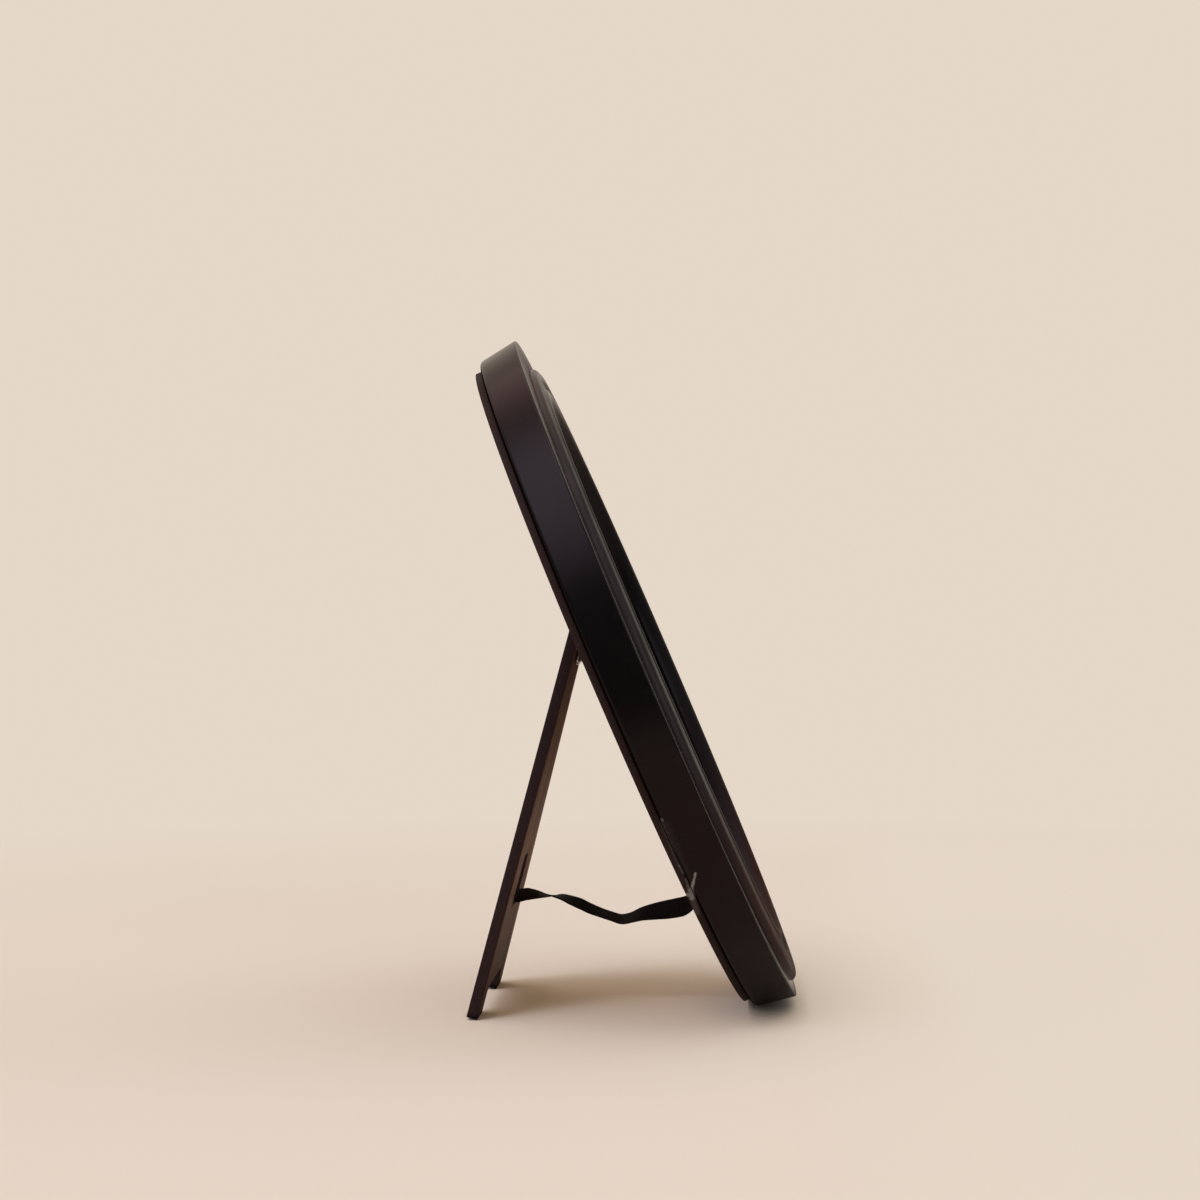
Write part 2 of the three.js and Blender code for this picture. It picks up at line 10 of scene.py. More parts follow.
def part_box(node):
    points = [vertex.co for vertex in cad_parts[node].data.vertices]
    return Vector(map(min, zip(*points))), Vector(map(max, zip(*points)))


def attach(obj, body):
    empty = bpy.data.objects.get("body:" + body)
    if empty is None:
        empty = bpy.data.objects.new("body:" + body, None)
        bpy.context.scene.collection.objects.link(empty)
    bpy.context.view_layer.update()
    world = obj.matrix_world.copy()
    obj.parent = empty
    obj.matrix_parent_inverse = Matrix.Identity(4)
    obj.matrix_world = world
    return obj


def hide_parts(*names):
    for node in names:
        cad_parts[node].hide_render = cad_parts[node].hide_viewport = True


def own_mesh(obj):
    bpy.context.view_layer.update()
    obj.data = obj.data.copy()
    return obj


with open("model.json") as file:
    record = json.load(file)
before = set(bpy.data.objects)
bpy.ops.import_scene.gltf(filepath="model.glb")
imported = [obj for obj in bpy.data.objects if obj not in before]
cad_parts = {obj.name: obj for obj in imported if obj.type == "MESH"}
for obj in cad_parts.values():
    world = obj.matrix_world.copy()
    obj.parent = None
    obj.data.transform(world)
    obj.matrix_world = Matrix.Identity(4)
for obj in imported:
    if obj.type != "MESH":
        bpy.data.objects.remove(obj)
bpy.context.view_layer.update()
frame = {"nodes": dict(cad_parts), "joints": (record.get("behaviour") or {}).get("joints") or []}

# Oval moulding: one wooden ring with an outer ledge, a bead with a ridge, a raised inner bead and a
# sight edge, rebated behind for the glass. Its satin black lacquer is rubbed thin along its edges and
# scuffed low on one side, where a few pale strokes along the back edge are partly painted highlight.
# Painted sheen in streaks lightens the outer bead's side, and painted warm reflections brown the
# lacquer at the top and low down.
MM = 0.001
HALF_LENGTH = 106 * MM
HALF_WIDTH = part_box("oval_moulding")[1].x
DEPTH = 12.4 * MM
LEDGE_WIDTH = 7.1 * MM  # halfway up the sides
LEDGE_SHIFT = 2.5 * MM  # wider than that at the top, narrower at the bottom
EDGE_ROUND = 0.5 * MM
BEAD_RADIUS = 2.1 * MM
BEAD_HEIGHT = 2.4 * MM
RIDGE_INSET = 12.3 * MM
RIDGE_RADIUS = 1.2 * MM
RIDGE_HEIGHT = 2.75 * MM
RIDGE_START, RIDGE_END = 265, 340
CREST_INSET = 18.3 * MM
CREST_RADIUS = 2.1 * MM
CREST_HEIGHT = 3 * MM
QUIRK_ANGLE, SLOPE_ANGLE = 205, 330
SIGHT_SLOPE = 1.8 * MM
FACE_WIDTH = CREST_INSET + CREST_RADIUS * math.cos(math.radians(SLOPE_ANGLE)) + SIGHT_SLOPE
SIGHT_SET_BACK = 0.8 * MM
SIGHT_ROUND = 0.3 * MM
LIP_BACK = 3.4 * MM
LIP_WIDTH = 5.5 * MM
REBATE_INSET = FACE_WIDTH - LIP_WIDTH
SIDE_TAPER = 1.75 * MM
BACK_ROUND = 1.5 * MM
STATIONS = 288
WELD = 0.001 * MM
PANE_DEPTH = 4.7 * MM  # front outer edge to the middle of the glass

# The frame's own axes: across, back from the ledge, and up along the oval
pane_faces = frame["nodes"]["glass_pane"].data.polygons
FRONT = max((face for face in pane_faces if face.normal.y < 0), key=lambda face: face.area).normal
ACROSS = Vector((1, 0, 0))
BACK = -FRONT
UP = ACROSS.cross(BACK)
standing = Matrix((ACROSS, BACK, UP)).transposed().to_4x4()
standing.translation = sum(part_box("glass_pane"), Vector()) / 2 - PANE_DEPTH * BACK


def arc(inset, back, radius, start, end, steps):
    angles = [math.radians(start + (end - start) * step / steps) for step in range(steps + 1)]
    return [(inset + radius * math.cos(a), back + radius * math.sin(a)) for a in angles]


def oval_point(angle, inset):
    """A point of the oval, `angle` from its top and `inset` square to its outer edge."""
    across, along = HALF_WIDTH * math.sin(angle), HALF_LENGTH * math.cos(angle)
    square = Vector((HALF_LENGTH * math.sin(angle), HALF_WIDTH * math.cos(angle))).normalized()
    return across - inset * square.x, along - inset * square.y


def add_piece(name, shape, material, sharp=35):
    """Makes a smooth-shaded object of a bmesh, with edges sharper than `sharp` degrees kept crisp."""
    mesh = bpy.data.meshes.new(name)
    shape.to_mesh(mesh)
    shape.free()
    mesh.shade_smooth()
    mesh.set_sharp_from_angle(angle=math.radians(sharp))
    mesh.materials.append(material)
    piece = bpy.data.objects.new(name, mesh)
    bpy.context.scene.collection.objects.link(piece)
    return piece


def node(material, kind, inputs, **settings):
    """Adds a shader node. Each input is a plain value or another node's output."""
    made = material.node_tree.nodes.new("ShaderNode" + kind)
    for name, value in settings.items():
        setattr(made, name, value)
    for socket, value in inputs.items():
        if isinstance(value, bpy.types.NodeSocket):
            material.node_tree.links.new(value, made.inputs[socket])
        else:
            made.inputs[socket].default_value = value
    return made


def new_finish(name):
    """A material, its surface shader and its Object coordinates."""
    material = bpy.data.materials.new(name)
    material.use_nodes = True
    shader = material.node_tree.nodes["Principled BSDF"]
    place = material.node_tree.nodes.new("ShaderNodeTexCoord").outputs["Object"]
    return material, shader, place


def feed(material, shader, **sockets):
    for name, value in sockets.items():
        socket = shader.inputs[name.replace("_", " ")]
        if isinstance(value, bpy.types.NodeSocket):
            material.node_tree.links.new(value, socket)
        else:
            socket.default_value = value


def noise(material, place, scale, detail=3, roughness=0.5):
    inputs = {"Vector": place, "Scale": scale, "Detail": detail, "Roughness": roughness}
    return node(material, "TexNoise", inputs).outputs["Fac"]


def between(material, factor, low, high, start=0.0, end=1.0):
    """`factor` mapped from low..high to start..end, and held there outside."""
    inputs = {"Value": factor, 1: low, 2: high, 3: start, 4: end}
    return node(material, "MapRange", inputs, clamp=True).outputs["Result"]


def times(material, first, second):
    return node(material, "Math", {0: first, 1: second}, operation="MULTIPLY").outputs[0]


def colour_mix(material, factor, first, second):
    mixed = node(material, "Mix", {0: factor, 6: first, 7: second}, data_type="RGBA")
    return mixed.outputs[2]


def stored(material, layer):
    """The values that a layer of the mesh stores."""
    return node(material, "Attribute", {}, attribute_name=layer).outputs["Fac"]


def bump(material, height, distance, strength=1.0, under=None):
    inputs = {"Height": height, "Distance": distance, "Strength": strength}
    if under is not None:
        inputs["Normal"] = under
    return node(material, "Bump", inputs).outputs["Normal"]


def towards(start, end, reach):
    """The point `reach` along the line from start to end."""
    share = reach / math.dist(start, end)
    return tuple(a + share * (b - a) for a, b in zip(start, end))


SUPPORT = 0.15 * MM  # keeps the flats flat beside their rounds
wall_end = DEPTH - BACK_ROUND
wall_inset = SIDE_TAPER * wall_end / DEPTH
outer_round = arc(EDGE_ROUND, EDGE_ROUND, EDGE_ROUND, 180, 270, steps=5)
bead = arc(LEDGE_WIDTH + BEAD_RADIUS, BEAD_RADIUS - BEAD_HEIGHT, BEAD_RADIUS, 180, 270, steps=10)
ridge = arc(RIDGE_INSET, RIDGE_RADIUS - RIDGE_HEIGHT, RIDGE_RADIUS, RIDGE_START, RIDGE_END, steps=8)
crest = arc(
    CREST_INSET, CREST_RADIUS - CREST_HEIGHT, CREST_RADIUS, QUIRK_ANGLE, SLOPE_ANGLE, steps=14,
)
sight_round = arc(
    FACE_WIDTH - SIGHT_ROUND, SIGHT_SET_BACK + SIGHT_ROUND, SIGHT_ROUND, SLOPE_ANGLE - 360, 0, steps=3,
)
back_round = arc(wall_inset + BACK_ROUND, wall_end, BACK_ROUND, 90, 180, steps=7)
section = [
    *outer_round, towards(outer_round[-1], bead[0], SUPPORT), towards(bead[0], outer_round[-1], SUPPORT),
    *bead, *ridge, towards(ridge[-1], crest[0], SUPPORT), towards(crest[0], ridge[-1], SUPPORT), *crest,
    (FACE_WIDTH - SUPPORT, SIGHT_SET_BACK - 2 * SUPPORT), *sight_round,
    (FACE_WIDTH, LIP_BACK), (REBATE_INSET, LIP_BACK), (REBATE_INSET, DEPTH),
    (wall_inset + BACK_ROUND + SUPPORT, DEPTH), *back_round,
    towards(back_round[-1], outer_round[0], SUPPORT), towards(outer_round[0], back_round[-1], SUPPORT),
]
RUBBED_LINES = [(0.1 * MM, 0.1 * MM), (CREST_INSET, -CREST_HEIGHT)]
RUBBED_REACH = 0.7 * MM
BEADS_FROM = 0.35 * MM
# Where painted sheen, in streaks, lightens the outer bead's side:
SHEEN_STREAK_MIDDLE, SHEEN_STREAK_REACH = -1 * MM, 1.2 * MM  # on the outer bead's side
LACQUER_END = wall_end + 0.9 * MM  # the wood is bare behind this

ring = bmesh.new()
corners = [ring.verts.new((0, back, HALF_LENGTH - inset)) for inset, back in section]
sides = [ring.edges.new(pair) for pair in zip(corners, corners[1:] + corners[:1])]
bmesh.ops.spin(
    ring, geom=corners + sides, cent=(0, 0, 0), axis=(0, 1, 0), dvec=(0, 0, 0),
    angle=2 * math.pi, steps=STATIONS, use_merge=True,
)
bmesh.ops.remove_doubles(ring, verts=ring.verts, dist=WELD)
bmesh.ops.recalc_face_normals(ring, faces=ring.faces)
for face in ring.faces:
    face.material_index = int(min(vert.co.y for vert in face.verts) > LACQUER_END)
rubbed = ring.verts.layers.float.new("rubbed")
ledge = ring.verts.layers.float.new("ledge")
beads = ring.verts.layers.float.new("beads")
sheen_streaked = ring.verts.layers.float.new("sheen_streaked")
lay = ring.verts.layers.float_vector.new("lay")
bead_zone = LEDGE_WIDTH - 2 * SUPPORT, LEDGE_WIDTH + BEAD_RADIUS + SUPPORT
for vert in ring.verts:
    angle = math.atan2(vert.co.x, vert.co.z)
    inset = HALF_LENGTH - math.hypot(vert.co.x, vert.co.z)
    off_line = min(math.dist((inset, vert.co.y), line) for line in RUBBED_LINES)
    vert[rubbed] = max(0, 1 - off_line / RUBBED_REACH)
    vert[beads] = min(1, max(0, -vert.co.y / BEADS_FROM - 1))
    if vert.co.y < EDGE_ROUND:
        vert[ledge] = min(1, max(0, inset / EDGE_ROUND - 1))
    vert[lay] = inset, vert.co.y, HALF_LENGTH * abs(angle)
    if vert.co.y < 0 and bead_zone[0] < inset < bead_zone[1]:
        vert[sheen_streaked] = max(0, 1 - abs(vert.co.y - SHEEN_STREAK_MIDDLE) / SHEEN_STREAK_REACH)
        inset += LEDGE_SHIFT * math.cos(angle)
    vert.co.x, vert.co.z = oval_point(angle, inset)
bmesh.ops.transform(ring, matrix=standing, verts=ring.verts)

BLACK = (0.0040, 0.0037, 0.0037, 1)
PAINTED_LOW_REFLECTION = (0.0058, 0.0020, 0.0021, 1)
LOW_REFLECTION_HEIGHTS = 95 * MM, 62 * MM  # heights between which painted warm floor reflection browns the black
# Painted reflection: the top is browned where it mirrors the warm backdrop.
PAINTED_TOP_REFLECTION = (0.016, 0.0045, 0.0030, 1)
TOP_REFLECTION_HEIGHTS = 155 * MM, 190 * MM
LOW_BEAD_REFLECTION = (0.026, 0.0068, 0.0042, 1)  # painted warm floor reflection on the low beads
LOW_DOWN = 35 * MM, 70 * MM  # heights between which the low beads' painted reflection and the lacquer's low dulling fade out
LOW_ROUGHER = 1.35
CLOUD_SCALE = 26
GLOSS = 0.13
GLOSS_TINT = (1.0, 0.83, 0.88, 1)
SIDE_ROUGH = 0.23, 0.42  # above the foot and at it
FOOT_DOWN = 28 * MM, 8 * MM
POLISHED = 150 * MM, 185 * MM  # heights between which the beads turn glossy
ZONE_ROUGH = {"ledge": (0.16, 0.48), "beads": (0.48, 0.27)}  # low down and at the top
DULL_SCALE = 70
SKIN_SCALE, SKIN_HEIGHT = 900, 0.02 * MM
RUBBED_WOOD = (0.045, 0.03, 0.022, 1)
RUB_SCALE = 240
RUB_STRENGTH = 0.15
# Painted sheen on the outer bead's side, standing in for its highlight, in streaks along the bead:
SHEEN_STREAK_GREY = (0.060, 0.047, 0.048, 1)
SHEEN_STREAK_BROWN = (0.070, 0.040, 0.027, 1)
SHEEN_STREAKS_BROWNED = 140 * MM, 180 * MM
SHEEN_STREAK_SCALE = 1400
SHEEN_STREAK_STRETCH = 0.03  # streaks run along the bead
SHEEN_STREAKS_FADE = 80 * MM, 50 * MM  # heights between which they fade to half
BARE_DARK = (0.0030, 0.0021, 0.0020, 1)
BARE_BROWN = (0.0060, 0.0038, 0.0032, 1)
GRAIN_SCALE, GRAIN_HEIGHT = 320, 0.04 * MM
SCUFF_AND_GLINT = (0.30, 0.265, 0.25, 1)
SCUFFED_SIDE = -50 * MM  # only the side beyond this is scuffed
SCUFFED_FACING = -0.3, -0.12  # and only where it faces that side
SCUFF_CORE = 0.4  # share of a scuff's half width that is solid
RAGGED_SCALE, RAGGED_BY = 900, 0.8 * MM
SCUFFS_AND_GLINTS = (
    # start and end as mm back from the ledge and up from the middle, half width in mm, paleness
    ((13.5, -61.3), (12.9, -59.0), 1.0, 0.75),
    ((13.4, -60.6), (14.4, -59.8), 0.7, 0.6),
    ((12.9, -59.0), (11.9, -57.8), 0.6, 0.7),
    ((11.9, -57.8), (9.6, -54.7), 0.45, 0.7),
    ((13.2, -58.5), (12.8, -55.5), 0.5, 0.3),
    ((13.4, -61.8), (14.1, -65.8), 1.1, 0.13),
    # the next three strokes, along the back edge, are partly scuffs and partly painted highlight where
    # that edge catches light
    ((12.9, -51.2), (12.7, -53.8), 0.5, 0.35),
    ((12.4, -38.5), (12.9, -51.0), 0.9, 0.12),
    ((11.8, -39.5), (12.4, -56.0), 2.0, 0.022),
    ((11.9, -37.3), (11.9, -37.8), 0.4, 0.25),
)


def scuff_and_glint_cover(material, place):
    """How much of the surface the scuffs and painted glints cover, found square to the frame's side."""
    x = node(material, "SeparateXYZ", {"Vector": place}).outputs["X"]
    surface = material.node_tree.nodes.new("ShaderNodeTexCoord").outputs["Normal"]
    facing = node(material, "SeparateXYZ", {"Vector": surface}).outputs["X"]
    side = times(
        material, between(material, x, SCUFFED_SIDE - MM, SCUFFED_SIDE, 1, 0),
        between(material, facing, *SCUFFED_FACING, 1, 0),
    )
    inputs = {"Vector": place, "Scale": RAGGED_SCALE, "Detail": 2}
    ragged = node(material, "TexNoise", inputs).outputs["Color"]
    shift = node(
        material, "VectorMath", {0: ragged, 1: (RAGGED_BY,) * 3, 2: (-RAGGED_BY / 2,) * 3},
        operation="MULTIPLY_ADD",
    ).outputs[0]
    moved = node(material, "VectorMath", {0: place, 1: shift}, operation="ADD").outputs[0]
    flat = node(material, "VectorMath", {0: moved, 1: (0, 1, 1)}, operation="MULTIPLY").outputs[0]
    cover = 0.0
    for (back, up), (end_back, end_up), half_width, paleness in SCUFFS_AND_GLINTS:
        start = standing @ Vector((0, back * MM, up * MM))
        line = standing @ Vector((0, end_back * MM, end_up * MM)) - start
        away = node(material, "VectorMath", {0: flat, 1: start}, operation="SUBTRACT").outputs[0]
        along = node(
            material, "VectorMath", {0: away, 1: line / line.length_squared}, operation="DOT_PRODUCT",
        ).outputs["Value"]
        nearest = node(
            material, "VectorMath", {0: line, "Scale": between(material, along, 0, 1)},
            operation="SCALE",
        ).outputs[0]
        gap = node(
            material, "VectorMath", {0: away, 1: nearest}, operation="DISTANCE",
        ).outputs["Value"]
        mark = between(material, gap, half_width * MM, SCUFF_CORE * half_width * MM, 0, paleness)
        cover = node(material, "Math", {0: cover, 1: mark}, operation="MAXIMUM").outputs[0]
    return times(material, cover, side)


lacquer, shader, place = new_finish("black_lacquer")
height = node(lacquer, "SeparateXYZ", {"Vector": place}).outputs["Z"]
# Painted warm floor reflection browns the lacquer low down, in random cloudy patches.
cloudy = between(lacquer, noise(lacquer, place, CLOUD_SCALE), 0.3, 0.6, 0.7, 1)
low_reflection = times(lacquer, between(lacquer, height, *LOW_REFLECTION_HEIGHTS), cloudy)
tint = colour_mix(lacquer, low_reflection, BLACK, PAINTED_LOW_REFLECTION)
# Painted reflection of the warm backdrop browns the top.
tint = colour_mix(lacquer, between(lacquer, height, *TOP_REFLECTION_HEIGHTS), tint, PAINTED_TOP_REFLECTION)
low = between(lacquer, height, *LOW_DOWN, 1, 0)
# Painted warm floor reflection browns the low beads.
tint = colour_mix(lacquer, times(lacquer, low, stored(lacquer, "beads")), tint, LOW_BEAD_REFLECTION)

patchy = between(lacquer, noise(lacquer, place, RUB_SCALE, 5), 0.42, 0.62)
rub = times(lacquer, times(lacquer, stored(lacquer, "rubbed"), patchy), RUB_STRENGTH)
tint = colour_mix(lacquer, rub, tint, RUBBED_WOOD)
# Painted sheen: the outer bead's side is lightened in streaks that run along it.
laid = node(lacquer, "Attribute", {}, attribute_name="lay").outputs["Vector"]
drawn_out = node(
    lacquer, "Mapping", {"Vector": laid, "Scale": (1, 1, SHEEN_STREAK_STRETCH)},
).outputs["Vector"]
sheen_streaks = between(lacquer, noise(lacquer, drawn_out, SHEEN_STREAK_SCALE, 3, 0.6), 0.35, 0.65, 0.4, 1)
sheen_streaks = times(lacquer, sheen_streaks, between(lacquer, height, *SHEEN_STREAKS_FADE, 1, 0.5))
sheen_streaks = times(lacquer, sheen_streaks, stored(lacquer, "sheen_streaked"))
sheen_streak_tint = colour_mix(
    lacquer, between(lacquer, height, *SHEEN_STREAKS_BROWNED), SHEEN_STREAK_GREY, SHEEN_STREAK_BROWN,
)
tint = colour_mix(lacquer, sheen_streaks, tint, sheen_streak_tint)
tint = colour_mix(lacquer, scuff_and_glint_cover(lacquer, place), tint, SCUFF_AND_GLINT)

high = between(lacquer, height, *POLISHED)
rough = between(lacquer, height, *FOOT_DOWN, *SIDE_ROUGH)
for zone, zone_rough in ZONE_ROUGH.items():
    inputs = {0: stored(lacquer, zone), 2: rough, 3: between(lacquer, high, 0, 1, *zone_rough)}
    rough = node(lacquer, "Mix", inputs, data_type="FLOAT").outputs[0]
dull = between(lacquer, noise(lacquer, place, DULL_SCALE, 4), 0.3, 0.7, 0.9, 1.15)
dull = times(lacquer, dull, between(lacquer, low, 0, 1, 1, LOW_ROUGHER))
skin = bump(lacquer, noise(lacquer, place, SKIN_SCALE, 2), SKIN_HEIGHT, 0.25)
feed(
    lacquer, shader, Base_Color=tint, Roughness=times(lacquer, rough, dull), Normal=skin,
    Specular_IOR_Level=GLOSS, Specular_Tint=GLOSS_TINT,
)

bare_back, shader, place = new_finish("bare_back")
grain = noise(bare_back, place, GRAIN_SCALE, 4, 0.6)
stain = colour_mix(bare_back, grain, BARE_DARK, BARE_BROWN)
feed(
    bare_back, shader, Base_Color=colour_mix(bare_back, scuff_and_glint_cover(bare_back, place), stain, SCUFF_AND_GLINT),
    Roughness=0.85, Specular_IOR_Level=0.0, Normal=bump(bare_back, grain, GRAIN_HEIGHT, 0.5),
)

moulding = add_piece("moulding", ring, lacquer)
moulding.data.materials.append(bare_back)
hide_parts("oval_moulding")
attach(moulding, "frame")

# Picture glass: one flat oval of clear glass, lying loose in the rebate behind the lip, hazed by
# old dust and wiping.
GLASS_TINT = (0.93, 0.97, 0.95, 1)
GLASS_IOR = 1.5
SMEAR_SCALE = 35
SMEAR_ROUGH = 0.07, 0.13

glass, shader, place = new_finish("picture_glass")
smear = between(glass, noise(glass, place, SMEAR_SCALE, 4), 0.4, 0.75, *SMEAR_ROUGH)
feed(glass, shader, Base_Color=GLASS_TINT, Transmission_Weight=1.0, Roughness=smear, IOR=GLASS_IOR)
frame["nodes"]["glass_pane"].data.materials[0] = glass

# Picture insert: bare black card where the picture goes, with the fine tooth of pulp board. It lies
# against the glass.
MERGE_WITHIN = 0.002 * MM
JOIN_WITHIN = math.radians(0.5)
SQUARE_ON = 0.9  # a face counts as square to a direction from this cosine
CARD_CLEAR = 0.04 * MM  # the card's tooth keeps it this far from the glass
CARD_BLACK = (0.009, 0.009, 0.010, 1)
CARD_GREY = (0.015, 0.0145, 0.015, 1)
TOOTH_SCALE, TOOTH_HEIGHT = 900, 0.015 * MM


def merged_copy(node_name):
    """A copy of a CAD piece with its triangles joined up into whole faces."""
    shape = bmesh.new()
    shape.from_mesh(frame["nodes"][node_name].data)
    bmesh.ops.remove_doubles(shape, verts=shape.verts, dist=MERGE_WITHIN)
    bmesh.ops.dissolve_limit(
        shape, angle_limit=JOIN_WITHIN, verts=shape.verts, edges=shape.edges,
    )
    return shape


insert = merged_copy("picture_insert")
insert.normal_update()
glass_side = [
    vert for face in insert.faces if face.normal.dot(FRONT) > SQUARE_ON for vert in face.verts
]
bmesh.ops.translate(insert, verts=list(dict.fromkeys(glass_side)), vec=CARD_CLEAR * BACK)

card, shader, place = new_finish("black_card")
fibre = noise(card, place, TOOTH_SCALE, 4, 0.7)
feed(
    card, shader, Base_Color=colour_mix(card, fibre, CARD_BLACK, CARD_GREY), Roughness=0.9,
    Normal=bump(card, fibre, TOOTH_HEIGHT), Specular_IOR_Level=0.2,
)
insert_card = add_piece("insert_card", insert, card)
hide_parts("picture_insert")
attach(insert_card, "frame")

# Filler pad: an oval of brown corrugated card that fills the rebate and presses the insert on the
# glass. Its flutes run across.
PAD_BROWN = (0.26, 0.165, 0.09, 1)
PAD_PALE = (0.37, 0.25, 0.15, 1)
PAD_FIBRE_SCALE = 700
FLUTES_PER_METRE = 170
FLUTE_HEIGHT = 0.15 * MM
BANDS_PER_SCALE = 3  # bands of the wave texture to a metre, at scale 1

pad, shader, place = new_finish("pad_card")
flutes = node(
    pad, "TexWave", {"Vector": place, "Scale": FLUTES_PER_METRE / BANDS_PER_SCALE, "Distortion": 0.4},
    bands_direction="Z",
).outputs["Fac"]
fibre = noise(pad, place, PAD_FIBRE_SCALE, 5, 0.65)
feed(
    pad, shader, Base_Color=colour_mix(pad, fibre, PAD_BROWN, PAD_PALE), Roughness=0.92,
    Normal=bump(pad, flutes, FLUTE_HEIGHT, 0.6),
)
frame["nodes"]["filler_pad"].data.materials[0] = pad

# Back board: an oval of thin hardboard laid on the moulding's back and screwed down. Its sawn rim is
# dark, with the fibres showing.
BOARD_BROWN = (0.150, 0.083, 0.054, 1)
BOARD_DARK = (0.100, 0.054, 0.036, 1)
RIM_DARK = (0.022, 0.0115, 0.0105, 1)
BOARD_RIM = (0.030, 0.0165, 0.013, 1)
BOARD_BEVEL = 0.3 * MM
BOARD_GLOSS = 0.08
BOARD_ROUGH = 0.6, 0.75
MOTTLE_SCALE = 55
FLECK_SCALE, FLECK_STRENGTH = 1300, 0.55
FIBRE_SCALE, FIBRE_HEIGHT = 850, 0.05 * MM


def soften(shape, width, segments=2, sharper_than=40):
    """Rounds every edge of a copy that turns by more than `sharper_than` degrees."""
    limit = math.radians(sharper_than)
    edges = [edge for edge in shape.edges if edge.is_manifold and edge.calc_face_angle() > limit]
    bmesh.ops.bevel(
        shape, geom=edges, offset=width, offset_type="OFFSET", affect="EDGES", segments=segments,
        profile=0.5, material=-1, clamp_overlap=True,
    )


def mark_rim(shape, flat_way):
    """Stores 1 on the faces that aren't square to `flat_way`: the sawn rim and the holes."""
    rim = shape.faces.layers.float.new("rim")
    shape.normal_update()
    for face in shape.faces:
        face[rim] = 0.0 if abs(face.normal.dot(flat_way)) > SQUARE_ON else 1.0


def hardboard(name, face_brown, face_dark, rim_brown):
    """Pressed wood fibre: a mottled matt face with dark flecks, and a darkened sawn rim."""
    material, shader, place = new_finish(name)
    mottle = between(material, noise(material, place, MOTTLE_SCALE, 3), 0.3, 0.7)
    fibre = noise(material, place, FIBRE_SCALE, 4, 0.7)
    flecks = between(material, noise(material, place, FLECK_SCALE, 3, 0.6), 0.55, 0.7)
    blotch = node(material, "Math", {0: mottle, 1: fibre}, operation="ADD").outputs[0]
    face = colour_mix(material, between(material, blotch, 0.5, 1.5), face_dark, face_brown)
    face = colour_mix(material, times(material, flecks, FLECK_STRENGTH), face, RIM_DARK)
    sawn = colour_mix(material, between(material, fibre, 0.3, 0.7), RIM_DARK, rim_brown)
    feed(
        material, shader, Roughness=between(material, mottle, 0, 1, *BOARD_ROUGH),
        Specular_IOR_Level=BOARD_GLOSS, Normal=bump(material, fibre, FIBRE_HEIGHT, 0.5),
    )
    return material, shader, place, colour_mix(material, stored(material, "rim"), face, sawn)


board = merged_copy("back_board")
soften(board, BOARD_BEVEL)
mark_rim(board, BACK)
board_finish, shader, place, brown = hardboard(
    "board_hardboard", BOARD_BROWN, BOARD_DARK, BOARD_RIM,
)
scuffed = colour_mix(board_finish, scuff_and_glint_cover(board_finish, place), brown, SCUFF_AND_GLINT)
feed(board_finish, shader, Base_Color=scuffed)
back_board = add_piece("back_board_rounded", board, board_finish)
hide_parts("back_board")
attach(back_board, "frame")

# Back screws: six slotted countersunk screws of plated steel. They hold the board on the moulding
# and are driven level with it, their slots at different turns.
SCREW_ANGLES = [36, 90, 144, 216, 270, 324]
SCREW_INSET = 8.6 * MM
SCREW_HEAD_RADIUS = 2.2 * MM
SCREW_SHANK_RADIUS = 1 * MM
SCREW_CONE = 1.2 * MM
SCREW_LENGTH = 8 * MM
SLOT_WIDTH = 0.5 * MM
SLOT_DEPTH = 0.5 * MM
SLOT_TURNS = 7  # a slot's turn for each degree round the oval
HEAD_RIM = 0.25 * MM
HEAD_CHAMFER = 0.1 * MM
HEAD_CORNERS = 8  # the head's flat has more corners than this
FACING_OUT = 0.99
CUT_WITHIN = 0.0001 * MM
BOARD_BACK = 14.7 * MM
STEEL = (0.5, 0.485, 0.46, 1)
STEEL_DULL = (0.24, 0.22, 0.2, 1)
STEEL_ROUGH = 0.24, 0.45  # where it is bright and where it is dull
STEEL_DULL_SCALE = 420
SCRATCH_SCALE, SCRATCH_HEIGHT = 5200, 0.01 * MM


def plated_steel():
    """Plated mild steel, dulled in patches and finely scratched."""
    material, shader, place = new_finish("plated_steel")
    dull = between(material, noise(material, place, STEEL_DULL_SCALE, 5, 0.6), 0.45, 0.75)
    scratch = noise(material, place, SCRATCH_SCALE, 2)
    feed(
        material, shader, Base_Color=colour_mix(material, dull, STEEL, STEEL_DULL), Metallic=1.0,
        Roughness=between(material, dull, 0, 1, *STEEL_ROUGH),
        Normal=bump(material, scratch, SCRATCH_HEIGHT, 0.4),
    )
    return material


def turned(profile, steps=28):
    """A solid turned about the Y axis from (radius, place along Y) pairs that end on the axis."""
    shape = bmesh.new()
    points = [shape.verts.new((radius, along, 0)) for radius, along in profile]
    lines = [shape.edges.new(pair) for pair in zip(points, points[1:])]
    bmesh.ops.spin(
        shape, geom=points + lines, cent=(0, 0, 0), axis=(0, 1, 0), dvec=(0, 0, 0),
        angle=2 * math.pi, steps=steps, use_merge=True,
    )
    bmesh.ops.remove_doubles(shape, verts=shape.verts, dist=WELD)
    bmesh.ops.recalc_face_normals(shape, faces=shape.faces)
    return shape


def only(kind, geometry):
    """The verts, edges or faces among the items that an operator gives back."""
    return [item for item in geometry if isinstance(item, kind)]


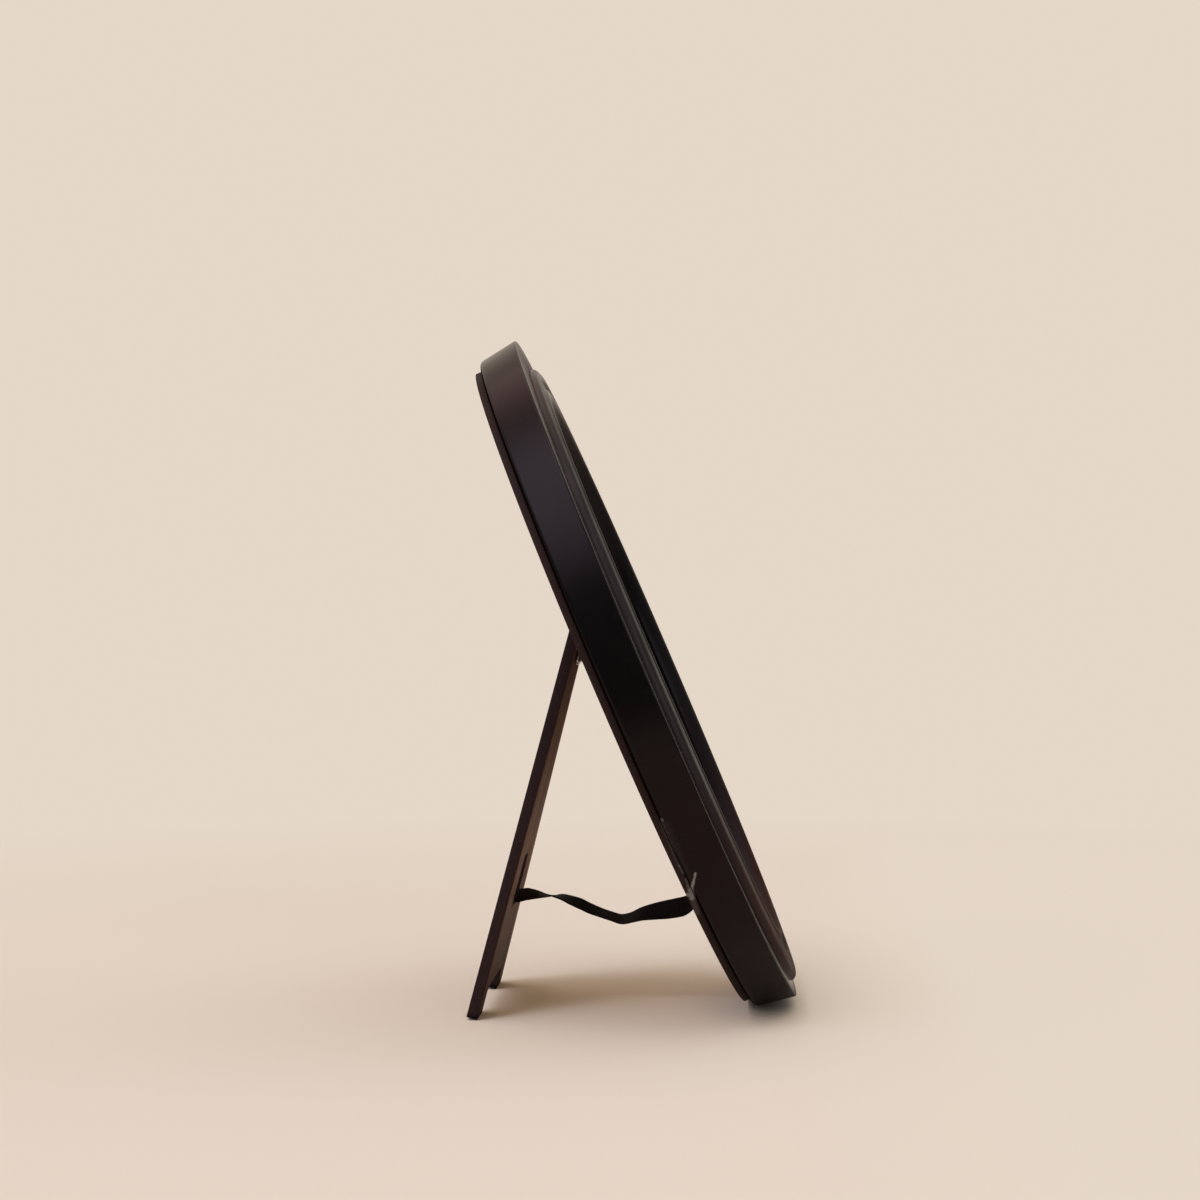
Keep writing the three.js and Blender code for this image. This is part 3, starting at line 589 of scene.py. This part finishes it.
def slotted_screw(turn):
    """A countersunk screw along Y, its head's face at 0 and its slot turned by `turn`."""
    shape = turned([
        (0, -SCREW_LENGTH), (SCREW_SHANK_RADIUS, SCREW_SHANK_RADIUS - SCREW_LENGTH),
        (SCREW_SHANK_RADIUS, -SCREW_CONE), (SCREW_HEAD_RADIUS, -HEAD_CHAMFER),
        (SCREW_HEAD_RADIUS - HEAD_CHAMFER, 0), (0, 0),
    ])
    top = [face for face in shape.faces if face.normal.y > FACING_OUT]
    cap = bmesh.ops.dissolve_faces(shape, faces=top)["region"]
    bmesh.ops.inset_region(shape, faces=cap, thickness=HEAD_RIM)
    for side in (-1, 1):
        flat = [
            face for face in shape.faces
            if face.normal.y > FACING_OUT and len(face.verts) > HEAD_CORNERS
        ]
        geometry = flat + [edge for face in flat for edge in face.edges]
        geometry += [vert for face in flat for vert in face.verts]
        bmesh.ops.bisect_plane(
            shape, geom=list(dict.fromkeys(geometry)), dist=CUT_WITHIN,
            plane_co=(side * SLOT_WIDTH / 2, 0, 0), plane_no=(1, 0, 0),
        )
    slot = [
        face for face in shape.faces
        if face.normal.y > FACING_OUT and abs(face.calc_center_median().x) < SLOT_WIDTH / 4
        and face.calc_area() > SLOT_WIDTH * SCREW_HEAD_RADIUS
    ]
    sunk = bmesh.ops.extrude_face_region(shape, geom=slot)["geom"]
    bmesh.ops.delete(shape, geom=slot, context="FACES_ONLY")
    slot_floor = only(bmesh.types.BMVert, sunk)
    bmesh.ops.translate(shape, verts=slot_floor, vec=(0, -SLOT_DEPTH, 0))
    bmesh.ops.rotate(shape, verts=shape.verts, matrix=Matrix.Rotation(turn, 3, "Y"))
    return shape


steel = plated_steel()
for number, degrees in enumerate(SCREW_ANGLES, 1):
    screw = slotted_screw(math.radians(degrees * SLOT_TURNS))
    x, up = oval_point(math.radians(degrees), SCREW_INSET)
    bmesh.ops.translate(screw, verts=screw.verts, vec=(x, BOARD_BACK, up))
    bmesh.ops.transform(screw, matrix=standing, verts=screw.verts)
    piece = add_piece(f"slotted_screw_{number}", screw, steel)
    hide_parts(f"back_screw_{number}")
    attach(piece, "frame")

# Hinge: two stamped steel leaves whose rolled knuckles share one pin. One leaf is riveted to the
# back board and the other to the leg.
LEAF_BEVEL = 0.12 * MM
PIN_RADIUS = 0.7 * MM
PIN_CHAMFER = 0.2 * MM
hinge = frame["joints"][0]
pin_place = Vector(hinge["pos_m"])

for node_name, body in (("hinge_board_leaf", "frame"), ("hinge_leg_leaf", "leg")):
    leaf = merged_copy(node_name)
    soften(leaf, LEAF_BEVEL)
    piece = add_piece(node_name + "_stamped", leaf, steel)
    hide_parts(node_name)
    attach(piece, body)

pin_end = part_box("hinge_pin")[1].x
pin = turned([
    (0, -pin_end), (PIN_RADIUS - PIN_CHAMFER, -pin_end), (PIN_RADIUS, PIN_CHAMFER - pin_end),
    (PIN_RADIUS, pin_end - PIN_CHAMFER), (PIN_RADIUS - PIN_CHAMFER, pin_end), (0, pin_end),
])
bmesh.ops.rotate(pin, verts=pin.verts, matrix=Matrix.Rotation(math.pi / 2, 3, "Z"))
bmesh.ops.translate(pin, verts=pin.verts, vec=pin_place)
piece = add_piece("hinge_pin_turned", pin, steel)
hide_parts("hinge_pin")
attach(piece, "frame")

# Rivets: four dome-headed steel rivets. Two hold one leaf of the hinge on the back board, and two
# hold the other leaf on the leg.
DOME_SHARP = 50

for node_name, body in (
    ("board_rivet_left", "frame"), ("board_rivet_right", "frame"),
    ("leg_rivet_left", "leg"), ("leg_rivet_right", "leg"),
):
    rivet = merged_copy(node_name)
    piece = add_piece(node_name + "_domed", rivet, steel, sharp=DOME_SHARP)
    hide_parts(node_name)
    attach(piece, body)

# Easel leg: a tapered plate of hardboard with an arched foot, sawn out and stained dark on its
# edges, with a slot for the ribbon. Its inner face is painted lighter, for light that reaches it,
# and painted shade darkens it towards the foot.
INNER_PAINTED_LIGHT = 2.3  # inner face painted this much lighter than the outer one, for light that reaches it
LEG_RIM = (0.029, 0.0160, 0.0155, 1)
SOLE_DARK = (0.006, 0.004, 0.004, 1)
SOLE_TOP = 1 * MM, 2.2 * MM
# Painted shade darkens the inner face from the foot up to this height.
FOOT_SHADE_TOP = 48 * MM
FOOT_SHADE_SHARE = 0.9
LEG_BEVEL = 0.35 * MM
OPENING = math.radians(37.65)

leg_square = Matrix.Rotation(OPENING, 3, "X") @ BACK
leg = merged_copy("easel_leg")
soften(leg, LEG_BEVEL)
mark_rim(leg, leg_square)
inner = leg.faces.layers.float.new("inner")
for face in leg.faces:
    face[inner] = 1.0 if face.normal.dot(leg_square) < -SQUARE_ON else 0.0
leg_finish, shader, place, brown = hardboard("leg_hardboard", BOARD_BROWN, BOARD_DARK, LEG_RIM)
inside = stored(leg_finish, "inner")
# Painted light: the inner face is made lighter than the outer one.
pale = between(leg_finish, inside, 0, 1, 1, INNER_PAINTED_LIGHT)
brown = node(leg_finish, "VectorMath", {0: brown, "Scale": pale}, operation="SCALE").outputs[0]
height = node(leg_finish, "SeparateXYZ", {"Vector": place}).outputs["Z"]
foot_shade = between(leg_finish, height, 0, FOOT_SHADE_TOP, FOOT_SHADE_SHARE, 0)
brown = colour_mix(leg_finish, times(leg_finish, foot_shade, inside), brown, SOLE_DARK)
sole = between(leg_finish, height, *SOLE_TOP, 1, 0)
feed(leg_finish, shader, Base_Color=colour_mix(leg_finish, sole, brown, SOLE_DARK))
easel_leg = add_piece("easel_leg_rounded", leg, leg_finish)
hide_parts("easel_leg")
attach(easel_leg, "leg")

# Ribbon: a limp black woven ribbon, stapled to the board, hanging slack with a half twist and
# threaded through the leg's slot, where it folds lengthwise. Its end is stapled behind the leg.
RIBBON_WIDTH = 6 * MM
RIBBON_THICKNESS = 0.35 * MM
RIBBON_COLUMNS = 12
STEPS_PER_SPAN = 6
BOARD_TAB = 15.2 * MM  # ledge to the middle of the ribbon on the board
RIBBON_UP = -69 * MM
RIBBON_DROP = -78 * MM  # below the pin, along the leg
LEG_INNER = 1.9 * MM  # pin to the leg's inner face
LEG_TAB = 5.6 * MM  # pin to the middle of the ribbon behind the leg
TAB_LENGTH = 9 * MM
SLOT_SIDE = 7 * MM  # where the ribbon's end on the leg begins
FOLD = 1.4 * MM
RIBBON_BLACK = (0.0022, 0.0012, 0.0010, 1)
RIBBON_GREY = (0.0078, 0.0040, 0.0030, 1)
RIBS_PER_METRE = 1500
RIB_HEIGHT = 0.08 * MM
WEAVE_LENGTH = 58 * MM  # length of ribbon that the weave's map covers
LEAST_FOLD = 0.01  # keeps a flat row from dividing by 0


def on_frame(x, back, up):
    return standing @ Vector((x, back, up))


def on_leg(x, out):
    turned_out = Matrix.Rotation(OPENING, 3, "X")
    return pin_place + turned_out @ (x * ACROSS + out * BACK + RIBBON_DROP * UP)


# Places along the ribbon: point, turn of its width from upright and lengthwise fold, in degrees
board_end = [
    (on_frame(TAB_LENGTH, BOARD_TAB, RIBBON_UP), 0, 0),
    (on_frame(TAB_LENGTH / 2, BOARD_TAB, RIBBON_UP), 0, 0),
    (on_frame(FOLD, BOARD_TAB, RIBBON_UP), 8, 0),
    (on_frame(0, BOARD_TAB + FOLD, RIBBON_UP), 40, 0),
]
free_points = [
    (18.6, -68.8, 50, 10), (20.3, -69.0, 36, 15), (22.0, -69.0, 24, 15), (25.6, -68.2, 30, 15),
    (29.4, -67.2, 44, 15), (33.3, -66.4, 58, 10), (36.5, -66.2, 68, 5), (39.5, -65.6, 70, 0),
    (41.9, -63.7, 72, 0), (44.3, -61.6, 72, 0), (47.1, -58.9, 68, 0), (49.3, -56.4, 67, 0),
    (51.6, -54.2, 73, 0), (53.5, -52.4, 82, 5), (55.2, -51.4, 92, 10), (57.7, -50.0, 106, 15),
    (60.1, -48.6, 121, 20), (62.5, -47.5, 133, 20),
]
free_end = [
    (on_frame(0, back * MM, up * MM), turn, fold) for back, up, turn, fold in free_points
]
leg_end = [
    (on_leg(0, LEG_INNER - FOLD / 2), 136, 20), (on_leg(FOLD, LEG_INNER + FOLD), 150, 10),
    (on_leg(SLOT_SIDE / 2, LEG_TAB - FOLD / 2), 172, 0), (on_leg(SLOT_SIDE, LEG_TAB), 180, 0),
    (on_leg(SLOT_SIDE + TAB_LENGTH / 2, LEG_TAB), 180, 0),
    (on_leg(SLOT_SIDE + TAB_LENGTH, LEG_TAB), 180, 0),
]
reached = len(board_end) + len(free_end)


def smooth_route(places):
    """Points, turns, folds and leg shares along a smooth curve through the places."""
    line = []
    for k in range(len(places) - 1):
        (start, turn, fold), (end, next_turn, next_fold) = places[k], places[k + 1]
        before = places[max(k - 1, 0)][0]
        after = places[min(k + 2, len(places) - 1)][0]
        span = (end - start).length
        leave = (end - before).normalized() * span / 3
        arrive = (after - start).normalized() * span / 3
        curve = interpolate_bezier(start, start + leave, end - arrive, end, STEPS_PER_SPAN + 1)
        for step, point in enumerate(curve[:-1]):
            share = step / STEPS_PER_SPAN
            line.append((
                point, turn + share * (next_turn - turn), fold + share * (next_fold - fold),
                min(1, (k + share) / reached),
            ))
    last, turn, fold = places[-1]
    return line + [(last, turn, fold, 1)]


def strip(name, line, material):
    """A woven strip along part of the route, turned and folded as the route says."""
    shape = bmesh.new()
    shape.loops.layers.uv.new("weave")
    rows = len(line) - 1
    bmesh.ops.create_grid(
        shape, x_segments=rows, y_segments=RIBBON_COLUMNS, size=1, calc_uvs=True,
    )
    for vert in shape.verts:
        row = round((vert.co.x + 1) / 2 * rows)
        side = vert.co.y * RIBBON_WIDTH / 2
        point, turn, fold, share = line[row]
        tangent = (line[min(row + 1, rows)][0] - line[max(row - 1, 0)][0]).normalized()
        lean = Matrix.Rotation(OPENING * share, 3, "X")
        turn = math.radians(turn)
        across = lean @ (math.sin(turn) * ACROSS + math.cos(turn) * UP)
        across = (across - across.dot(tangent) * tangent).normalized()
        face = tangent.cross(across)
        bend = max(math.radians(fold), LEAST_FOLD) / RIBBON_WIDTH
        vert.co = (
            point + across * (math.sin(side * bend) / bend)
            + face * ((1 - math.cos(side * bend)) / bend)
        )
    bmesh.ops.recalc_face_normals(shape, faces=shape.faces)
    piece = add_piece(name, shape, material)
    thicken = piece.modifiers.new("thickness", "SOLIDIFY")
    thicken.thickness = RIBBON_THICKNESS
    thicken.offset = 0
    return piece


woven, shader, place = new_finish("woven_ribbon")
weave = node(woven, "UVMap", {}, uv_map="weave").outputs["UV"]
stretched = node(
    woven, "Mapping", {"Vector": weave, "Scale": (WEAVE_LENGTH, RIBBON_WIDTH, 1)},
).outputs["Vector"]
ribs = node(
    woven, "TexWave",
    {"Vector": stretched, "Scale": RIBS_PER_METRE / BANDS_PER_SCALE, "Distortion": 0.2},
    bands_direction="X",
).outputs["Fac"]
feed(
    woven, shader, Base_Color=colour_mix(woven, ribs, RIBBON_BLACK, RIBBON_GREY), Roughness=0.6,
    Normal=bump(woven, ribs, RIB_HEIGHT, 0.6), Sheen_Weight=0.02, Specular_IOR_Level=0.06,
)

route = smooth_route(board_end + free_end + leg_end)
board_rows = STEPS_PER_SPAN * (len(board_end) - 1)
leg_rows = STEPS_PER_SPAN * reached
free_line = route[board_rows:leg_rows + 1]
ribbon = strip("ribbon_free", free_line, woven)
board_tab = strip("ribbon_board_end", route[:board_rows + 1], woven)
leg_tab = strip("ribbon_leg_end", route[leg_rows:], woven)

for piece, body in ((ribbon, "frame"), (board_tab, "frame"), (leg_tab, "leg")):
    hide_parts("ribbon")
    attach(piece, body)
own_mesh(ribbon)

# Staples: two bent steel wires that hold the ribbon's ends, one on the back board and one behind the
# leg.
WIRE_ROUND = 0.14 * MM

for node_name, body in (("ribbon_staple_board", "frame"), ("ribbon_staple_leg", "leg")):
    staple = merged_copy(node_name)
    soften(staple, WIRE_ROUND)
    piece = add_piece(node_name + "_wire", staple, steel)
    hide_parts(node_name)
    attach(piece, body)

# Paper sweep: one wide sheet of pale beige paper, flat under the frame and curved up behind it. It
# is evenly lit away from the frame's shadow. Near the frame a painted glow lifts the shadow, except at
# the contacts; in front of the frame the shadow is partly painted out; and glossy rays see the near
# paper painted black, a painted dark reflection.
SWEEP_BEIGE = (0.788, 0.684, 0.580, 1)  # as it is lit far from the frame
PAPER = (0.592, 0.564, 0.498, 1)
PAPER_GLOW = (0.112, 0.058, 0.014, 1)  # painted glow that lifts the frame's shadow on the paper
DARK_REFLECTION_EDGE = -0.36, -0.30  # nearer than this, glossy rays see the paper painted black, a painted dark reflection
SWEEP_NEAR = -1.6
SWEEP_FAR = 1.4
SWEEP_RADIUS = 0.6
SWEEP_HEIGHT = 2.2
SWEEP_HALF = 2.4
SHADOW_REACH = 0.25
SHADOW_FADE = 0.60
SHADOW_FRONT = -0.045, -0.10  # in front of the frame the shadow is painted out from here to here
SHADOW_CLEARED = 0.8  # share of the shadow painted out there
# The painted glow fades where the paper is closed in at the contacts, which stay dark.
CONTACT_REACH = 0.035
CONTACT_OPEN = 0.2, 0.6
CURL_STEPS = 24

paper, shader, place = new_finish("beige_paper")
feed(
    paper, shader, Base_Color=PAPER, Roughness=0.95, Specular_IOR_Level=0.0,
    Emission_Color=PAPER_GLOW,
)
open_sky = node(paper, "AmbientOcclusion", {"Distance": CONTACT_REACH}, samples=8).outputs["AO"]
feed(paper, shader, Emission_Strength=between(paper, open_sky, *CONTACT_OPEN))
tree = paper.node_tree
distance = node(paper, "VectorMath", {0: place}, operation="LENGTH").outputs["Value"]
spot = node(paper, "SeparateXYZ", {"Vector": place}).outputs
in_front = between(paper, spot["Y"], *SHADOW_FRONT, 0, SHADOW_CLEARED)
clear = between(paper, distance, SHADOW_REACH, SHADOW_FADE)
far_off = node(paper, "Math", {0: clear, 1: in_front}, operation="MAXIMUM").outputs[0]
rays = tree.nodes.new("ShaderNodeLightPath").outputs
seen = rays["Is Camera Ray"]
for kind in ("Is Glossy Ray", "Is Transmission Ray"):
    seen = node(paper, "Math", {0: seen, 1: rays[kind]}, operation="MAXIMUM").outputs[0]
plain = node(paper, "Emission", {"Color": SWEEP_BEIGE, "Strength": 1.0}).outputs[0]
shown = node(
    paper, "MixShader", {0: times(paper, far_off, seen), 1: shader.outputs[0], 2: plain},
).outputs[0]
# Glossy rays see the near paper painted black, a painted dark reflection.
dark_reflection_share = between(paper, spot["X"], *DARK_REFLECTION_EDGE, 1, 0)
painted_dark = node(paper, "Emission", {"Color": SWEEP_BEIGE, "Strength": 0.0}).outputs[0]
shown = node(
    paper, "MixShader", {0: times(paper, dark_reflection_share, rays["Is Glossy Ray"]), 1: shown, 2: painted_dark},
).outputs[0]
tree.links.new(shown, tree.nodes["Material Output"].inputs["Surface"])

sheet = bmesh.new()
near_ends = [sheet.verts.new((SWEEP_NEAR, side * SWEEP_HALF, 0)) for side in (-1, 1)]
near_edge = sheet.edges.new(near_ends)
flat = bmesh.ops.extrude_edge_only(sheet, edges=[near_edge])["geom"]
far_ends = only(bmesh.types.BMVert, flat)
far_edge = only(bmesh.types.BMEdge, flat)
bmesh.ops.translate(sheet, verts=far_ends, vec=(SWEEP_FAR - SWEEP_RADIUS - SWEEP_NEAR, 0, 0))
curl = bmesh.ops.spin(
    sheet, geom=far_ends + far_edge, cent=(SWEEP_FAR - SWEEP_RADIUS, 0, SWEEP_RADIUS),
    axis=(0, -1, 0), dvec=(0, 0, 0), angle=math.pi / 2, steps=CURL_STEPS, use_merge=False,
)["geom_last"]
rise = bmesh.ops.extrude_edge_only(sheet, edges=only(bmesh.types.BMEdge, curl))["geom"]
bmesh.ops.translate(
    sheet, verts=only(bmesh.types.BMVert, rise), vec=(0, 0, SWEEP_HEIGHT - SWEEP_RADIUS),
)
sweep = add_piece("paper_sweep", sheet, paper)

# Studio light: a white tent that is open low down towards the camera. A soft box hangs overhead, a
# small lamp and a soft one are high on the camera's left, and one is low on its right. Two warm ones
# stand beyond the frame.
TENT = (1.0, 0.96, 0.97, 1)
TENT_STRENGTH = 0.50
TENT_OPENING = 0.12, 0.45  # share of the way towards the camera
OPENING_TOP = 0.25, 0.55
FRONT_DIM = 0.45, 0.75  # share of the way towards the frame's front, dim low down
FRONT_DIM_TOP = 0.1, 0.35
FRONT_DIM_SHARE = 0.65
ROOM = (0.7, 0.85, 1.0, 1)
ROOM_STRENGTH = 0.05
FLOOR_LINE = -0.02, 0.02  # the tent ends here
LAMPS = (
    # direction, cosines of its soft edge, colour, strength
    ((0.0, 0.0, 1.0), (0.80, 0.90), (0.98, 1.0, 1.02, 1), 0.78),
    ((-0.45, 0.33, 0.83), (0.985, 0.996), (0.98, 0.97, 1.02, 1), 6.0),
    ((-0.55, 0.55, 0.655), (0.875, 0.985), (0.99, 0.89, 1.05, 1), 2.3),
    ((-0.82, -0.52, 0.22), (0.93, 0.985), (1.0, 0.97, 1.0, 1), 1.2),
    ((0.50, 0.45, 0.74), (0.86, 0.97), (1.0, 0.66, 0.55, 1), 1.15),
    ((0.48, -0.70, 0.53), (0.78, 0.96), (1.0, 0.94, 0.90, 1), 0.6),
)

world = bpy.data.worlds.new("studio")
bpy.context.scene.world = world
world.use_nodes = True
way = world.node_tree.nodes.new("ShaderNodeTexCoord").outputs["Generated"]
split = node(world, "SeparateXYZ", {"Vector": way}).outputs


def glow(colour, strength, share):
    inputs = {"Color": colour, "Strength": times(world, share, strength)}
    return node(world, "Background", inputs).outputs[0]


closed = between(world, split["X"], -TENT_OPENING[1], -TENT_OPENING[0])
over = between(world, split["Z"], *OPENING_TOP)
tent = node(world, "Math", {0: closed, 1: over}, operation="MAXIMUM").outputs[0]
above_floor = between(world, split["Z"], *FLOOR_LINE)
front_side = between(world, split["Y"], -FRONT_DIM[1], -FRONT_DIM[0], FRONT_DIM_SHARE, 0)
front_low = times(world, front_side, between(world, split["Z"], *FRONT_DIM_TOP, 1, 0))
tent = times(world, tent, between(world, front_low, 0, 1, 1, 0))
tent = times(world, tent, above_floor)
light = node(
    world, "AddShader", {0: glow(ROOM, ROOM_STRENGTH, 1.0), 1: glow(TENT, TENT_STRENGTH, tent)},
).outputs[0]
for direction, soft_edge, colour, strength in LAMPS:
    facing = node(
        world, "VectorMath", {0: way, 1: Vector(direction).normalized()}, operation="DOT_PRODUCT",
    ).outputs["Value"]
    lamp = glow(colour, strength, between(world, facing, *soft_edge))
    light = node(world, "AddShader", {0: light, 1: lamp}).outputs[0]
rays = world.node_tree.nodes.new("ShaderNodeLightPath").outputs
direct = node(
    world, "Math", {0: rays["Is Camera Ray"], 1: rays["Is Transmission Ray"]}, operation="MAXIMUM",
).outputs[0]
beyond = node(world, "Background", {"Color": SWEEP_BEIGE, "Strength": 1.0}).outputs[0]
light = node(world, "MixShader", {0: direct, 1: light, 2: beyond}).outputs[0]
world.node_tree.links.new(light, world.node_tree.nodes["World Output"].inputs["Surface"])

# Camera: level with the upper half of the frame and about 0.7 m off on its left side, looking along
# its face through a long lens.
CAMERA_PLACE = (-0.7038, -0.02995, 0.1210)
CAMERA_YAW = math.radians(3.312)
CAMERA_PITCH = math.radians(-0.053)
CAMERA_ROLL = math.radians(-0.155)
LENS = 70.5

camera_data = bpy.data.cameras.new("camera")
camera_data.lens = LENS
camera = bpy.data.objects.new("camera", camera_data)
camera.location = CAMERA_PLACE
aim = Euler((math.pi / 2 + CAMERA_PITCH, 0, CAMERA_YAW - math.pi / 2)).to_matrix()
camera.rotation_euler = (aim @ Matrix.Rotation(CAMERA_ROLL, 3, "Z")).to_euler()
bpy.context.scene.collection.objects.link(camera)
bpy.context.scene.camera = camera
bpy.context.scene.view_settings.view_transform = "Standard"

bpy.context.view_layer.update()
